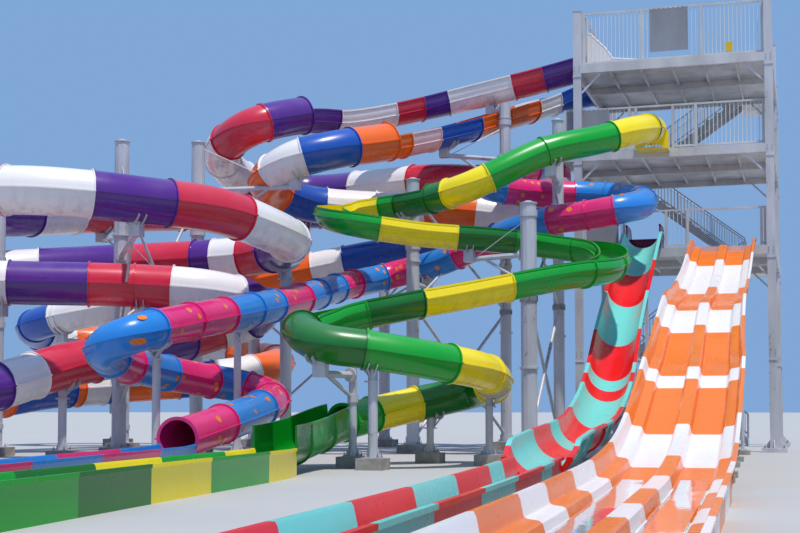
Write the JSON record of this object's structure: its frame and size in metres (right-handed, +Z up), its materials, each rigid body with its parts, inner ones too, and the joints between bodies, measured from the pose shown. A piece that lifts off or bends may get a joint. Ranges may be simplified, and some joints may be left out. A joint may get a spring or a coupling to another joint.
{
  "type": "water slide tower, 1:2 scale model",
  "caption": "Steel access tower with stairs and decks and winding water slides carried on columns, as a 1:2 scale model.",
  "frame": {"origin": "underside of the base plate of the tower's front left column, at ground level", "axes": "+X along the tower's front to its right end, +Y from the run-outs to the stairs behind the tower, +Z up"},
  "size_m": [16.2507, 26.3453, 8.5],
  "materials": {
    "galvanised_steel": "satin light grey paint over galvanised steel",
    "deck_steel": "satin pale grey paint",
    "purple_fibreglass": "glossy gel coat in purple, red and white sections",
    "blue_fibreglass": "glossy gel coat in blue, orange and white sections",
    "green_fibreglass": "glossy gel coat in green and yellow sections",
    "pink_fibreglass": "glossy gel coat in pink and light blue sections",
    "red_fibreglass": "glossy gel coat in red and turquoise sections",
    "orange_fibreglass": "glossy gel coat in orange and white sections"
  },
  "bodies": {
    "root": {"tower_column_front_left": "galvanised_steel", "tower_column_front_right": "galvanised_steel", "tower_column_middle_left": "galvanised_steel", "tower_column_middle_right": "galvanised_steel", "tower_column_rear_left": "galvanised_steel", "tower_column_rear_right": "galvanised_steel", "deck_top": "deck_steel", "deck_middle": "deck_steel", "deck_low": "deck_steel", "railing_top": "deck_steel", "railing_middle": "deck_steel", "railing_low": "deck_steel", "stair_lower": "deck_steel", "stair_middle": "deck_steel", "stair_upper": "deck_steel", "purple_slide_start_flume": "purple_fibreglass", "purple_slide_upper_turns": "purple_fibreglass", "purple_slide_lower_loops": "purple_fibreglass", "purple_slide_exit": "purple_fibreglass", "blue_slide_start_flume": "blue_fibreglass", "blue_slide_upper_turns": "blue_fibreglass", "blue_slide_lower_turns": "blue_fibreglass", "green_slide_start": "green_fibreglass", "green_slide_upper_flume": "green_fibreglass", "green_slide_lower_tube": "green_fibreglass", "green_slide_end_flume": "green_fibreglass", "green_slide_run_out": "green_fibreglass", "pink_slide_upper_loops": "pink_fibreglass", "pink_slide_lower_loop": "pink_fibreglass", "pink_slide_run_out": "pink_fibreglass", "red_slide_drop": "red_fibreglass", "red_slide_run_out": "red_fibreglass", "red_slide_run_out_end": "red_fibreglass", "orange_slide_start_lanes": "orange_fibreglass", "orange_slide_upper_lanes": "orange_fibreglass", "orange_slide_lower_lanes": "orange_fibreglass", "orange_slide_run_out": "orange_fibreglass", "orange_slide_run_out_end": "orange_fibreglass", "red_slide_trestle": "galvanised_steel", "orange_slide_trestle": "galvanised_steel", "support_left_front": "galvanised_steel", "support_left_rear": "galvanised_steel", "support_centre": "galvanised_steel", "support_centre_right": "galvanised_steel", "support_upper_right": "galvanised_steel", "support_upper_left": "galvanised_steel", "support_green_front": "galvanised_steel", "support_green_turn": "galvanised_steel", "support_green_right": "galvanised_steel", "support_green_rear": "galvanised_steel", "support_pink_front": "galvanised_steel", "support_pink_middle": "galvanised_steel", "support_purple_exit": "galvanised_steel", "support_purple_turn": "galvanised_steel", "support_far_left": "galvanised_steel", "support_far_front": "galvanised_steel", "support_far_loop": "galvanised_steel", "support_rear_left": "galvanised_steel", "support_left_side": "galvanised_steel", "support_rear": "galvanised_steel"}
  },
  "joints": []
}
